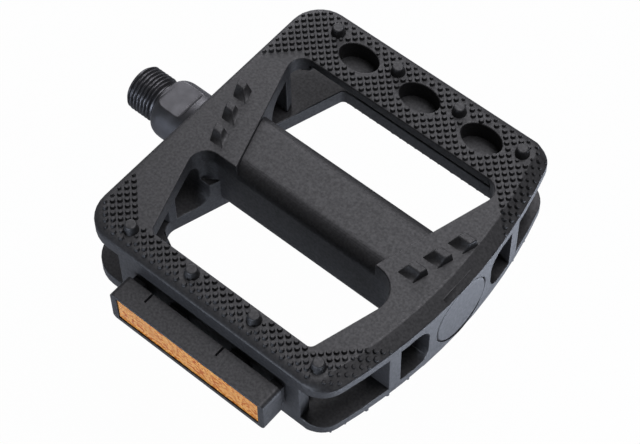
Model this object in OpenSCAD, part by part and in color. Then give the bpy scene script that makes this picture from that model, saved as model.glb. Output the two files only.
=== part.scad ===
// Flat bicycle pedal: a moulded two-sided platform that spins on a steel spindle.
// X runs along the axle from the crank outwards, Y across the pedal and Z up.
// The origin lies on the axle, in the shoulder that seats on the crank.
// The lower half of the platform is the upper half turned half a turn about the axle.

/* [Platform] */
// Gap between the crank's face and the platform
body_gap = 13.8; // [12.6:0.1:16]
// Length of the platform along the axle
body_len = 95; // [92:0.2:104]
// Width of the platform across the axle
body_w = 101.2; // [97:0.2:108]
// Height of the platform from tread to tread, without the pins
body_h = 26.4; // [25.6:0.1:30]
// Thickness of each tread plate
tread_t = 5.4; // [4.6:0.1:6]
// Radius of the bowed outer end in plan
bow_r = 162; // [140:1:260]
// Radius of the corners on the crank side in plan
crank_corner_r = 10.2; // [8:0.1:13]
// Radius of the outer corner beside the slim bar in plan
slim_end_corner_r = 9; // [8:0.1:12]
// Radius of the outer corner beside the broad bar in plan
broad_end_corner_r = 7; // [6.5:0.1:12]
// Width of the rounded edge round each tread
edge_w = 3.4; // [1.5:0.1:5]
// Height of that rounded edge
edge_h = 1.5; // [0.8:0.1:1.9]
// Width of the bevel along the outer end of each tread
bevel_w = 4.5; // [2.5:0.1:6]
// Height of that bevel
bevel_h = 2.3; // [2:0.1:3.5]

/* [Windows] */
// Width of the broad tread bar
broad_bar = 19.2; // [17:0.2:21]
// Thickness of the broad tread bar along the wall
broad_bar_t = 3.3; // [3:0.1:4]
// Width of the slim tread bar
slim_bar = 9.5; // [8.5:0.1:12]
// Width of the crank-side bar at the axle, beside the broad bar's window
crank_broad = 19.1; // [18:0.1:21]
// Width of the outer side bar at the axle, beside the broad bar's window
end_broad = 19.5; // [18.5:0.1:21]
// Width of the crank-side bar, drawn on to the axle, beside the slim bar's window
crank_slim = 5.1; // [4.5:0.1:7]
// Width of the outer side bar, drawn on to the axle, beside the slim bar's window
end_slim = 7.3; // [6.5:0.1:9]
// Slant of the crank-side window edges
crank_slant = 18.3; // [15:0.1:20]
// Slant of the outer window edges
end_slant = 16.5; // [14:0.1:18]
// Corner radius of the broad bar's window
broad_corner_r = 4.5; // [2:0.25:6]
// Corner radius at the slim bar
slim_corner_r = 2; // [1:0.25:4]
// Corner radius beside the tube on the crank side
crank_fillet_r = 5; // [3:0.25:6]
// Corner radius beside the tube at the outer end
end_fillet_r = 8; // [4:0.25:9]

/* [Walls] */
// Width of the axle tube
tube_w = 21; // [20.6:0.1:23]
// Height of the axle tube
tube_h = 24; // [22:0.1:25]
// Rounding of the tube's long edges
tube_r = 5; // [2:0.25:6]
// Half width of the solid boss round each bearing
boss_half = 13.8; // [13.2:0.1:15]
// Width of the rounded pocket beside each boss
pocket_w = 10.4; // [8:0.1:11]
// Rounding of the pocket's corners on the boss
pocket_r = 5; // [2:0.25:6]
// Thickness of the crank-side ribs
crank_rib = 2.8; // [2:0.1:4]
// Thickness of the ribs at the outer end
end_rib = 4.3; // [3:0.1:5]
// Length of the two walls a reflector can hang on
wall_len = 65.3; // [62:0.1:68]
// Distance from the platform's crank side to those walls
wall_inset = 14.2; // [12:0.1:16]
// Thickness of those walls
wall_t = 4; // [3:0.1:5]

/* [Grip] */
// Distance from pin to pin along a row
pin_pitch = 22.3; // [20:0.1:23.5]
// Distance of each pin row from the axle
pin_row = 44.2; // [43:0.1:46]
// Height of the pins
pin_h = 2.75; // [1.5:0.05:4]
// Diameter of a pin at its foot
pin_foot_d = 4.7; // [4:0.1:6]
// Diameter of a pin at its top
pin_top_d = 3.3; // [2.5:0.1:3.9]
// Length of the oval recesses in the broad bar, along the axle
recess_len = 13.2; // [10:0.1:13.4]
// Width of those recesses across the axle
recess_w = 8.8; // [7:0.1:9.6]
// Depth of those recesses
recess_depth = 6.4; // [5.8:0.1:7]
// Distance of the recesses from the axle
recess_row = 41; // [39.5:0.1:42]
// Shift of the recesses towards the crank from the middle between two pins
recess_shift = 0.7; // [0:0.1:1]
// Wall round each recess below its bar
recess_wall = 1.2; // [1:0.1:1.4]
// Floor below each recess
recess_floor = 1.5; // [1.2:0.1:2]
// Length of a grip tooth across the axle
tooth_len = 4.9; // [4:0.1:7]
// Width of a crank-side tooth along the axle
tooth_w = 4.5; // [4:0.1:5.5]
// Width of an outer tooth along the axle
tooth_end_w = 5.6; // [4.5:0.1:6]
// Height of a grip tooth
tooth_h = 2.75; // [1.5:0.05:3.2]
// Distance from tooth to tooth
tooth_pitch = 7.9; // [7.4:0.1:8.5]
// Run of a tooth's gentle slope across the axle
tooth_front = 2.3; // [1:0.1:2.6]
// Run of a tooth's gentle slope beside the window
tooth_inner = 1.5; // [1:0.1:2.2]
// Run of a tooth's steep slopes
tooth_back = 0.3; // [0.2:0.05:0.8]

/* [Spindle] */
// Outside diameter of the crank thread, nine sixteenths of an inch
thread_d = 14.28; // [12.7:0.01:14.5]
// Pitch of the crank thread, twenty turns to the inch
thread_pitch = 1.27; // [1:0.01:1.5]
// Length of the thread with its relief
thread_len = 11; // [9:0.1:14]
// Diameter of the collar
collar_d = 18.7; // [17.6:0.1:19]
// Width across the spanner flats
flat_w = 15; // [14:0.1:15.5]
// Length of the spanner flats
flat_len = 10.4; // [8:0.1:11]
// Diameter of the shaft beside the inner bearing
shaft_d = 10.4; // [9.4:0.1:10.6]
// Diameter of the screwed outer end
screw_d = 8; // [7:0.1:8.2]

/* [Bearings] */
// Diameter of the balls, three thirty-seconds of an inch
ball_d = 2.381; // [2:0.001:2.5]
// Radius of the inner ring of balls
inner_ring_r = 6.6; // [6.5:0.05:6.8]
// Radius of the outer ring of balls
outer_ring_r = 6; // [5.9:0.05:6.3]
// Outside diameter of the cups
cup_d = 18.6; // [18.2:0.1:19]
// Bore of the axle tube
tube_bore_d = 14; // [12.5:0.1:15]
// Width of the lock nut across its flats
nut_w = 13; // [12:0.1:14]
// Diameter of the end cap
cap_d = 21.3; // [20.5:0.1:22]
// Outside diameter of the dust seal
seal_d = 21.5; // [20.5:0.1:22.5]

/* [Reflector] */
// Length of the reflector housing
housing_len = 55.4; // [50:0.2:58]
// Height of the reflector housing
housing_h = 12.4; // [10:0.1:13.5]
// Depth of the reflector housing
housing_depth = 7.5; // [7:0.1:9]
// Gap between the platform and the housing
housing_gap = 2.1; // [1.5:0.1:3.5]
// Wall of the housing
housing_wall = 1.3; // [1:0.1:1.6]
// Width of the end walls of the housing
housing_end = 2.2; // [1.8:0.1:3]
// Rounding of the housing's corners as seen from the front
housing_r = 1.6; // [0.4:0.1:2]
// Thickness of the lens
lens_t = 2; // [1.5:0.1:2.5]

/* [Hidden] */
$fn = 64;

black_plastic = "#3a3a3c";
black_steel = "#4a4a4c";
bright_steel = "#b4b6ba";
amber = "#ff9a3c";
rubber = "#1c1c1e";

// Overshoot of cutting tools and overlap of pieces moulded together
over = 1;
// Radial clearance of a screwed, pressed or clipped fit
fit_gap = 0.05;
// Clearance of a ball in its race
race_gap = 0.05;
// Running clearance of the dust seal
seal_gap = 0.08;
// Joint round a part that is let into another
joint_gap = 0.15;
// Steps on a quarter circle of an outline, on half the bow and on a rounded edge
quarter_steps = 8;
bow_steps = 6;
edge_steps = 5;

// Main planes of the platform
body_end = body_gap + body_len;
body_mid = (body_gap + body_end) / 2;
half_w = body_w / 2;
half_h = body_h / 2;
half_gap = half_h - tread_t;
half_tube = tube_w / 2;
bow_x = body_end - bow_r;
crank_corner_y = half_w - crank_corner_r;
rib_y = boss_half + pocket_w;
bar_depth = 2 * max(crank_broad, end_broad);

// Cone and cup lines: each race is a 45 degree cone that clears the balls
ball_r = ball_d / 2;
race_shift = (ball_r + race_gap) * sqrt(2);
lip_gap = 0.3;
// The dust seal and how far it is let in behind the platform's face
seal_t = 1.9;
seal_sunk = 0.3;
seal_pocket = seal_t + seal_sunk;
collar_r = collar_d / 2;
shaft_r = shaft_d / 2;
screw_r = screw_d / 2;
// The collar's full diameter ends under the seal, where the inner cone begins
collar_reach = 1.2;
collar_end = body_gap + collar_reach;
seal_back = body_gap + seal_pocket;
inner_cone_sum = collar_end + collar_r;
inner_ball_x = inner_cone_sum - inner_ring_r + race_shift;
inner_cup_sum = inner_ball_x + inner_ring_r + race_shift;
cup_lip = ball_d + fit_gap;
cup_r = cup_d / 2;
cup_back = 3.6;
// Radial room between a cup's bottom and the shaft
shaft_room = 0.7;
inner_cup_x = [inner_ball_x - cup_lip, inner_ball_x + cup_back];
// Stack at the outer end, from the cap inwards
cap_t = 3.3;
cap_room = 1.8;
nut_t = 3.6;
washer_t = 1.1;
screw_past_nut = 0.4;
cap_x = body_end - cap_t;
screw_end = cap_x - cap_room;
nut_x = screw_end - screw_past_nut - nut_t;
washer_x = nut_x - washer_t;
cone_t = 4.8;
cone_x = washer_x - cone_t;
cone_wall = 0.9;
cone_tip_r = screw_r + cone_wall;
outer_cone_diff = cone_x - cone_tip_r;
outer_ball_x = outer_cone_diff + outer_ring_r - race_shift;
outer_cup_diff = outer_ball_x - outer_ring_r - race_shift;
outer_cup_x = [outer_ball_x - cup_back, outer_ball_x + cup_lip];
// The cone's rim and the washer reach a little past the middle of the balls
cone_rim = 0.5;
cone_rim_r = outer_ring_r + cone_rim;
key_w = 2;
key_depth = 0.9;

// Planes of the reflector, which hangs on the near wall
housing_back = half_w + housing_gap;
housing_face = housing_back + housing_depth;
lens_sunk = 0.5;
lens_face = housing_face - lens_sunk;
lens_rim = 1;
back_t = 1.2;
// The lens reaches back to its plate, which lies on the housing's back wall
lens_depth = housing_depth - housing_wall - lens_sunk - back_t;
lens_h = housing_h - 2 * housing_wall - 2 * joint_gap;
lens_len = housing_len - 2 * housing_end - 2 * joint_gap;
leg_w = 6;
leg_h = 5;
barb = 0.8;

// Centre of an outer corner of radius r, and the angle at which the bow runs into it
function end_corner_y(r) = half_w - r;
function end_corner_x(r) = bow_x + sqrt(pow(bow_r - r, 2) - pow(end_corner_y(r), 2));
function bow_angle(r) = asin(end_corner_y(r) / (bow_r - r));

// Points on an arc whose radius may change evenly from one end to the other
function arc(centre, from, to, r_from, r_to, steps) =
    [for (k = [0 : steps])
        let (t = k / steps, a = from + (to - from) * t)
        centre + (r_from + (r_to - r_from) * t) * [cos(a), sin(a)]];

// Outline of the platform in plan, drawn in along its sides and along its outer end
function outline(side, end) =
    let (crank_r = crank_corner_r - side,
         slim_r = slim_end_corner_r,
         broad_r = broad_end_corner_r,
         slim_angle = -bow_angle(slim_r),
         broad_angle = bow_angle(broad_r),
         bow_turn = (broad_angle - slim_angle) / (2 * bow_steps))
    concat(
        arc([body_gap + crank_corner_r, -crank_corner_y], 180, 270, crank_r, crank_r, quarter_steps),
        arc([end_corner_x(slim_r), -end_corner_y(slim_r)], -90, slim_angle, slim_r - side, slim_r - end,
            quarter_steps),
        [for (k = [1 : 2 * bow_steps - 1])
            let (a = slim_angle + bow_turn * k)
            [bow_x, 0] + (bow_r - end) * [cos(a), sin(a)]],
        arc([end_corner_x(broad_r), end_corner_y(broad_r)], broad_angle, 90, broad_r - end, broad_r - side,
            quarter_steps),
        arc([body_gap + crank_corner_r, crank_corner_y], 90, 180, crank_r, crank_r, quarter_steps));

function unit(v) = v / norm(v);

// Turn from one direction to another, the shorter way
function short_turn(from, to) = (to - from + 540) % 360 - 180;

function angle_of(v) = atan2(v[1], v[0]);

// Arc that rounds corner p between its neighbours a and b
function round_corner(a, p, b, r) =
    let (u = unit(a - p), v = unit(b - p), half = acos(u * v) / 2, reach = r / tan(half),
         centre = p + unit(u + v) * r / sin(half),
         from = angle_of(p + u * reach - centre),
         turn = short_turn(from, angle_of(p + v * reach - centre)))
    arc(centre, from, from + turn, r, r, quarter_steps);

// Polygon whose corners are rounded by the radii given with them
function rounded(corners, radii) =
    [for (k = [0 : len(corners) - 1])
        let (n = len(corners),
             p = corners[k],
             before = corners[(k + n - 1) % n],
             after = corners[(k + 1) % n])
        each radii[k] == 0 ? [p] : round_corner(before, p, after, radii[k])];

// Slanted window edges, as the place along the axle at a distance y across it
function broad_crank_edge(y) = body_gap + crank_broad - y * tan(crank_slant);
function broad_end_edge(y) = body_end - end_broad + y * tan(end_slant);
function slim_crank_edge(y) = body_gap + crank_slim - y * tan(crank_slant);
function slim_end_edge(y) = body_end - end_slim + y * tan(end_slant);

// Opening beside the broad bar, which also bares the top of the tube
module broad_window() {
    far = half_w - broad_bar;
    polygon(rounded([[broad_crank_edge(-half_tube), -half_tube], [broad_end_edge(-half_tube), -half_tube],
                     [broad_end_edge(far), far], [broad_crank_edge(far), far]],
                    [0, 0, broad_corner_r, broad_corner_r]));
}

// Opening between the tube and the slim bar
module slim_window() {
    near = slim_bar - half_w;
    polygon(rounded([[slim_crank_edge(near), near], [slim_end_edge(near), near],
                     [slim_end_edge(-half_tube), -half_tube], [slim_crank_edge(-half_tube), -half_tube]],
                    [slim_corner_r, slim_corner_r, end_fillet_r, crank_fillet_r]));
}

// Tread plate with its rounded sides and bevelled outer end, still without windows
module tread_plate() {
    levels = concat([half_gap, half_h - bevel_h],
                    [for (q = [0 : edge_steps]) half_h - edge_h * (1 - sin(90 * q / edge_steps))]);
    rise = [for (z = levels) max(0, z - half_h + edge_h) / edge_h];
    sides = [for (h = rise) edge_w * (1 - sqrt(1 - h * h))];
    ends = [for (z = levels) max(0, z - half_h + bevel_h) * bevel_w / bevel_h];
    n = len(outline(0, 0));
    last = len(levels) - 1;
    polyhedron(
        points = [for (l = [0 : last]) for (p = outline(sides[l], ends[l])) [p[0], p[1], levels[l]]],
        faces = concat(
            [[for (k = [0 : n - 1]) k]],
            [[for (k = [n - 1 : -1 : 0]) last * n + k]],
            [for (l = [0 : last - 1]) for (k = [0 : n - 1])
                [l * n + k, (l + 1) * n + k, (l + 1) * n + (k + 1) % n, l * n + (k + 1) % n]]));
}

// Everything that stands between the two treads, as one block before the cuts
module web_blocks() {
    linear_extrude(2 * (half_gap + over), center = true)
        intersection() {
            polygon(outline(0, 0));
            union() {
                translate([body_gap - over, -rib_y - crank_rib])
                    square([bar_depth, 2 * (rib_y + crank_rib)]);
                translate([body_end - bar_depth, -rib_y - end_rib])
                    square([bar_depth + over, 2 * (rib_y + end_rib)]);
                for (side = [-1, 1])
                    translate([body_gap + wall_inset, side * (half_w - wall_t / 2) - wall_t / 2])
                        square([wall_len, wall_t]);
            }
        }
}

// Pocket beside a boss, square at the rib and rounded at the boss, cut along the axle
module side_pocket(from, to) {
    translate([from, 0, 0])
        rotate([90, 0, 90])
            linear_extrude(to - from)
                for (side = [0, 1])
                    mirror([side, 0])
                        union() {
                            translate([boss_half + pocket_r, -half_gap])
                                square([pocket_w - pocket_r, 2 * half_gap]);
                            translate([boss_half, -half_gap + pocket_r])
                                square([pocket_w, 2 * (half_gap - pocket_r)]);
                            for (end = [-1, 1])
                                translate([boss_half + pocket_r, end * (half_gap - pocket_r)])
                                    circle(pocket_r);
                        }
}

// Rectangle about the origin with rounded corners
module rounded_rectangle(width, height, r) {
    union() {
        square([width - 2 * r, height], center = true);
        square([width, height - 2 * r], center = true);
        for (x = [-1, 1], y = [-1, 1])
            translate([x * (width / 2 - r), y * (height / 2 - r)])
                circle(r);
    }
}

// Rounded bar along the axle
module rounded_tube(from, to) {
    translate([from, 0, 0])
        rotate([90, 0, 90])
            linear_extrude(to - from)
                rounded_rectangle(tube_w, tube_h, tube_r);
}

// Round stretch about the axle
module shaft(from, to, r) {
    translate([from, 0, 0])
        rotate([0, 90, 0])
            cylinder(h = to - from, r = r);
}

// Body of revolution about the axle, from points of radius and place along the axle
module turned(points) {
    rotate([0, 90, 0])
        rotate_extrude()
            polygon(points);
}

// Tooth with gentle slopes to the near side and the window, and steep ones behind
// Its sides lean by the slant of the window's edge
module grip_tooth(width, slant) {
    reach = 2 * tooth_len;
    intersection() {
        translate([-reach, 0, 0])
            rotate([90, 0, 90])
                linear_extrude(width + 2 * reach)
                    polygon([[0, -over], [tooth_len, -over], [tooth_len, 0],
                             [tooth_len - tooth_back, tooth_h], [tooth_front, tooth_h], [0, 0]]);
        rotate([0, 0, -slant])
            translate([0, reach, 0])
                rotate([90, 0, 0])
                    linear_extrude(2 * reach)
                        polygon([[0, -over], [width, -over], [width, 0],
                                 [width - tooth_back, tooth_h], [tooth_inner, tooth_h], [0, 0]]);
    }
}

// The three teeth on each side bar, set along the slant of the window
module grip_teeth() {
    row_start = -8.3;
    crank_clear = 6.5;
    end_clear = 5.1;
    for (k = [0 : 2]) {
        y = row_start + k * tooth_pitch;
        translate([broad_crank_edge(y) - crank_clear, y, half_h])
            mirror([1, 0, 0])
                grip_tooth(tooth_w, crank_slant);
        translate([broad_end_edge(y) + end_clear, y, half_h])
            grip_tooth(tooth_end_w, end_slant);
    }
}

// Places of the recesses' floors, each between two pins
module at_recesses() {
    for (k = [-1 : 1])
        translate([body_mid + k * pin_pitch - recess_shift, recess_row, half_h - recess_depth])
            children();
}

// Oval of a recess in plan, with a wall round it
module recess_oval(wall) {
    steps = 4 * quarter_steps;
    polygon([for (k = [0 : steps - 1])
        let (a = 360 * k / steps)
        [(recess_len / 2 + wall) * cos(a), (recess_w / 2 + wall) * sin(a)]]);
}

// What stands on or hangs under the upper tread only
module upper_details() {
    for (k = [-1.5 : 1.5], side = [-1, 1])
        translate([body_mid + k * pin_pitch, side * pin_row, half_h - over / 2])
            cylinder(h = pin_h + over / 2, d1 = pin_foot_d, d2 = pin_top_d);
    grip_teeth();
    at_recesses()
        translate([0, 0, -recess_floor])
            linear_extrude(recess_depth + recess_floor - broad_bar_t + over)
                recess_oval(recess_wall);
}

// Both windows of a tread
module windows() {
    broad_window();
    slim_window();
}

// The windows, cut from the axle's plane up, and the hollow that thins the broad bar
module upper_cuts() {
    linear_extrude(half_h + over)
        windows();
    translate([body_gap + wall_inset, half_w - broad_bar - over, half_gap - over])
        cube([wall_len, broad_bar - wall_t + over, tread_t - broad_bar_t + over]);
}

// Cut between the treads that ends each rib at the windows of both
module rib_ends() {
    strip = max(crank_rib, end_rib) + 2 * over;
    linear_extrude(2 * half_gap, center = true)
        intersection() {
            union() {
                windows();
                mirror([0, 1, 0])
                    windows();
            }
            for (y = [rib_y - over, over - rib_y - strip])
                translate([body_gap, y])
                    square([body_len, strip]);
        }
}

module both_sides() {
    children();
    rotate([180, 0, 0])
        children();
}

// Slots for the legs of a reflector, the same in both walls
module leg_slots() {
    for (side = [-1, 1], k = [-0.5, 0.5])
        translate([body_mid + k * pin_pitch, side * half_w, 0])
            cube([leg_w + 2 * joint_gap, 2 * wall_t + 2 * over, leg_h + 2 * joint_gap], center = true);
}

module pedal_body() {
    color(black_plastic)
        difference() {
            union() {
                difference() {
                    union() {
                        both_sides()
                            tread_plate();
                        web_blocks();
                    }
                    both_sides()
                        upper_cuts();
                    rib_ends();
                    side_pocket(body_gap - over, body_gap + bar_depth + over);
                    side_pocket(body_end - bar_depth - over, body_end + over);
                }
                rounded_tube(body_gap + over, body_end - 2 * over);
                both_sides()
                    upper_details();
            }
            both_sides()
                at_recesses()
                    linear_extrude(recess_depth + over)
                        recess_oval(0);
            leg_slots();
            shaft(body_gap - over, seal_back, seal_d / 2 + fit_gap);
            shaft(body_gap, inner_cup_x[1], cup_r + fit_gap);
            shaft(body_gap, body_end, tube_bore_d / 2);
            shaft(outer_cup_x[0], body_end, cup_r + fit_gap);
            shaft(cap_x, body_end + over, cap_d / 2 + joint_gap);
        }
}

module end_cap() {
    skirt_len = 2.8;
    skirt_t = 1.1;
    chamfer = 0.5;
    cap_sunk = 0.2;
    face = body_end - cap_sunk;
    skirt_r = cup_r - joint_gap;
    color(black_plastic)
        turned([[0, cap_x], [skirt_r - skirt_t, cap_x], [skirt_r - skirt_t, cap_x - skirt_len],
                [skirt_r, cap_x - skirt_len], [skirt_r, cap_x], [cap_d / 2, cap_x],
                [cap_d / 2, face - chamfer], [cap_d / 2 - chamfer, face], [0, face]]);
}

module inner_seal() {
    lip = 0.6;
    start = seal_back - seal_t;
    color(rubber)
        turned([[collar_r + seal_gap, start + lip], [collar_r + seal_gap + lip, start], [seal_d / 2, start],
                [seal_d / 2, seal_back], [collar_r + seal_gap, seal_back]]);
}

// Cup seen from its open side: lip, straight wall, 45 degree race and the hole for the shaft
module inner_cup() {
    wall_r = inner_ring_r + ball_r + lip_gap;
    hole_r = shaft_r + shaft_room;
    color(bright_steel)
        turned([[wall_r, inner_cup_x[0]], [cup_r, inner_cup_x[0]], [cup_r, inner_cup_x[1]],
                [hole_r, inner_cup_x[1]], [hole_r, inner_cup_sum - hole_r],
                [wall_r, inner_cup_sum - wall_r]]);
}

module outer_cup() {
    wall_r = outer_ring_r + ball_r + lip_gap;
    hole_r = shaft_r + shaft_room / 2;
    color(bright_steel)
        turned([[wall_r, outer_cup_x[1]], [wall_r, outer_cup_diff + wall_r],
                [hole_r, outer_cup_diff + hole_r], [hole_r, outer_cup_x[0]],
                [cup_r, outer_cup_x[0]], [cup_r, outer_cup_x[1]]]);
}

// A full ring of loose balls, as many as go round with a little play
module ball_ring(x, ring_r) {
    play = 0.05;
    count = floor(2 * PI * ring_r / (ball_d + play));
    color(bright_steel)
        for (k = [0 : count - 1])
            rotate([360 * k / count, 0, 0])
                translate([x, 0, ring_r])
                    sphere(d = ball_d);
}

module inner_balls() {
    ball_ring(inner_ball_x, inner_ring_r);
}

module outer_balls() {
    ball_ring(outer_ball_x, outer_ring_r);
}

// Rings of the crank thread, from the tip to the relief groove
function thread_rings(tip, turns) =
    let (depth_share = 0.6134,
         crest = thread_d / 2,
         root = crest - depth_share * thread_pitch,
         land = thread_pitch / 8)
    [for (k = [0 : turns - 1])
        let (x = tip + (k + 0.5) * thread_pitch)
        each [[root, x - thread_pitch / 2], [crest, x - land], [crest, x + land]]];

module spindle() {
    tip = -thread_len;
    tip_chamfer = 0.5;
    relief = 1.5;
    relief_depth = 1.1;
    relief_r = thread_d / 2 - relief_depth;
    turns = floor((thread_len - relief - tip_chamfer) / thread_pitch);
    shoulder_drop = 1.8;
    shoulder_run = 3.8;
    cutter_r = 2;
    outer_shaft_r = outer_ring_r - ball_r - 2 * fit_gap;
    shaft_step = outer_ball_x - ball_r;
    color(black_steel)
        difference() {
            turned(concat(
                [[0, tip], [relief_r, tip], [relief_r, tip + tip_chamfer]],
                thread_rings(tip + tip_chamfer, turns),
                [[relief_r, tip + tip_chamfer + turns * thread_pitch], [relief_r, 0],
                 for (q = [0 : quarter_steps])
                     let (a = 90 * q / quarter_steps)
                     [collar_r - shoulder_drop * (1 - sin(a)), shoulder_run * (1 - cos(a))],
                 [collar_r, collar_end],
                 [shaft_r, inner_cone_sum - shaft_r], [min(shaft_r, outer_shaft_r), shaft_step],
                 [screw_r, shaft_step + shaft_r - screw_r], [screw_r, screw_end], [0, screw_end]]));
            for (side = [0, 1])
                mirror([0, 0, side])
                    translate([0, 0, flat_w / 2]) {
                        translate([-over, -collar_r, 0])
                            cube([flat_len - cutter_r + over, collar_d, collar_r]);
                        translate([flat_len - cutter_r, 0, cutter_r])
                            rotate([90, 0, 0])
                                cylinder(h = collar_d, r = cutter_r, center = true);
                    }
            translate([washer_x - over, -key_w / 2, screw_r - key_depth])
                cube([screw_end - washer_x + 2 * over, key_w, screw_r]);
        }
}

module outer_cone() {
    color(bright_steel)
        turned([[screw_r + fit_gap, cone_x], [cone_tip_r, cone_x],
                [cone_rim_r, outer_cone_diff + cone_rim_r], [cone_rim_r, washer_x],
                [screw_r + fit_gap, washer_x]]);
}

module lock_washer() {
    color(bright_steel)
        union() {
            difference() {
                shaft(washer_x, nut_x, cone_rim_r);
                shaft(washer_x - over, nut_x + over, screw_r + fit_gap);
            }
            translate([washer_x, fit_gap - key_w / 2, screw_r - key_depth + fit_gap])
                cube([washer_t, key_w - 2 * fit_gap, key_depth + over]);
        }
}

module lock_nut() {
    color(bright_steel)
        difference() {
            translate([nut_x, 0, 0])
                rotate([0, 90, 0])
                    cylinder(h = nut_t, d = nut_w / cos(30), $fn = 6);
            shaft(nut_x - over, nut_x + nut_t + over, screw_r + fit_gap);
        }
}

// One leg of the housing: it passes the wall and hooks behind it
module snap_leg() {
    nose = 2;
    behind = half_w - wall_t - joint_gap;
    tip = behind - nose;
    rotate([90, 0, 90])
        linear_extrude(leg_w, center = true)
            polygon([[-housing_back - over, -leg_h / 2], [-tip, -leg_h / 2], [-tip, leg_h / 2 - barb],
                     [-behind, leg_h / 2 + barb], [-behind, leg_h / 2], [-housing_back - over, leg_h / 2]]);
}

module reflector_housing() {
    foot_w = 4;
    foot_h = 8;
    foot_inset = 0.8;
    slit_w = 0.5;
    slit_len = 3.4;
    slit_places = [-18.5, 7.3];
    pocket = [housing_len - 2 * housing_end, housing_depth - housing_wall, housing_h - 2 * housing_wall];
    foot_shift = housing_len / 2 - foot_inset - foot_w / 2;
    color(black_plastic)
        difference() {
            union() {
                translate([body_mid, -housing_back, 0])
                    rotate([90, 0, 0])
                        linear_extrude(housing_depth)
                            rounded_rectangle(housing_len, housing_h, housing_r);
                for (side = [-1, 1])
                    translate([body_mid + side * foot_shift - foot_w / 2, -housing_back - over, -foot_h / 2])
                        cube([foot_w, housing_gap + over, foot_h]);
                for (k = [-0.5, 0.5])
                    translate([body_mid + k * pin_pitch, 0, 0])
                        snap_leg();
            }
            translate([body_mid - pocket[0] / 2, -housing_face - over, -pocket[2] / 2])
                cube(pocket + [0, over, 0]);
            for (place = slit_places)
                translate([body_mid + place, -housing_back - slit_len,
                           housing_h / 2 - housing_wall - joint_gap])
                    cube([slit_w, slit_len + over, housing_wall + over]);
        }
}

// Amber lens with a rim at its back, which closes against the back plate
module reflector_lens() {
    chamfer = 0.4;
    color(amber)
        translate([body_mid, -lens_face, 0])
            difference() {
                rotate([-90, 0, 0])
                    union() {
                        linear_extrude(chamfer)
                            square([lens_len - 2 * chamfer, lens_h - 2 * chamfer], center = true);
                        translate([0, 0, chamfer])
                            linear_extrude(lens_depth - chamfer)
                                square([lens_len, lens_h], center = true);
                    }
                translate([lens_rim - lens_len / 2, lens_t, lens_rim - lens_h / 2])
                    cube([lens_len - 2 * lens_rim, lens_depth, lens_h - 2 * lens_rim]);
            }
}

module reflector_back() {
    color(black_plastic)
        translate([body_mid - lens_len / 2, lens_depth - lens_face, -lens_h / 2])
            cube([lens_len, back_t, lens_h]);
}

pedal_body();
end_cap();
inner_seal();
inner_cup();
outer_cup();
inner_balls();
outer_balls();
spindle();
outer_cone();
lock_washer();
lock_nut();
reflector_housing();
reflector_lens();
reflector_back();
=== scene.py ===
"""Looks of a flat bicycle pedal with an amber reflector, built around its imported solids."""
import math

import bmesh
import bpy
from bpy.props import FloatProperty, FloatVectorProperty, IntProperty, PointerProperty
from mathutils import Matrix, Vector
from mathutils.bvhtree import BVHTree
from mathutils.kdtree import KDTree


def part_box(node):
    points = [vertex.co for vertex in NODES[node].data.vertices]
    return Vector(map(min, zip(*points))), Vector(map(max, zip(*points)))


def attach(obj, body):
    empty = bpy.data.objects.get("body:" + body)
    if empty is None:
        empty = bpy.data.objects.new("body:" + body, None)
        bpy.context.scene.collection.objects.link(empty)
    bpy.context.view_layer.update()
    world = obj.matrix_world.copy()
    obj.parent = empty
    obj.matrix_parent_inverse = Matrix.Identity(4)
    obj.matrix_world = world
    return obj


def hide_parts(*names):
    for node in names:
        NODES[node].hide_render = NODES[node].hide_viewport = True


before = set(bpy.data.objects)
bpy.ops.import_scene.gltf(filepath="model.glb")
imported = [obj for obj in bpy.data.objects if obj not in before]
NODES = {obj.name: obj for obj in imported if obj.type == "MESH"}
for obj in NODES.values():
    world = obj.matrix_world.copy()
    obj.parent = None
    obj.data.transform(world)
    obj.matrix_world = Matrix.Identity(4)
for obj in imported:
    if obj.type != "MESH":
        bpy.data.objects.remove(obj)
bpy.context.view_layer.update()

bl_info = {
    "name": "Flat Bicycle Pedal",
    "version": (1, 0, 0),
    "blender": (4, 5, 0),
    "location": "3D View > Sidebar > Pedal",
    "description": "Dresses the solids of a flat pedal with rounded edges, dots, a thread and finishes",
    "category": "Object",
}

MM = 0.001
DOWN = Vector((0, 0, -1))
# Corners nearer than this become one, and faces that turn less than this become one flat face
MERGE_DISTANCE = 0.002 * MM
FLAT_TURN = math.radians(1)
# Edges that turn more than SHARP_TURN degrees are rounded, and blunter ones between two wide faces
SHARP_TURN = 35
BLUNT_TURN = 25
WIDE_FACE = 1.0 * MM
ROUND_STEPS = 4
CREASE = math.radians(30)
# Crowded edges are eased to this share in the first half of the tries, and left plain in the rest
ROUNDING_TRIES = 6
EASED_SHARE = 0.5
# A rounded corner has strayed when it is farther from the plain surface than this share of the radius
STRAY_SHARE = 0.6
# A face between these areas has turned over when the product of its normal and the plain one is below this
SLIVER_AREA = 0.005 * MM * MM
SMALL_AREA = 1.0 * MM * MM
TURNED_OVER = -0.3
# Strips narrower than this share of the radius that turn more than this many degrees look rubbed
WORN_WIDTH = 0.8
WORN_TURN = 15


def mm(*values):
    """A point given in millimetres, in metres."""
    return Vector(values) * MM


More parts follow.
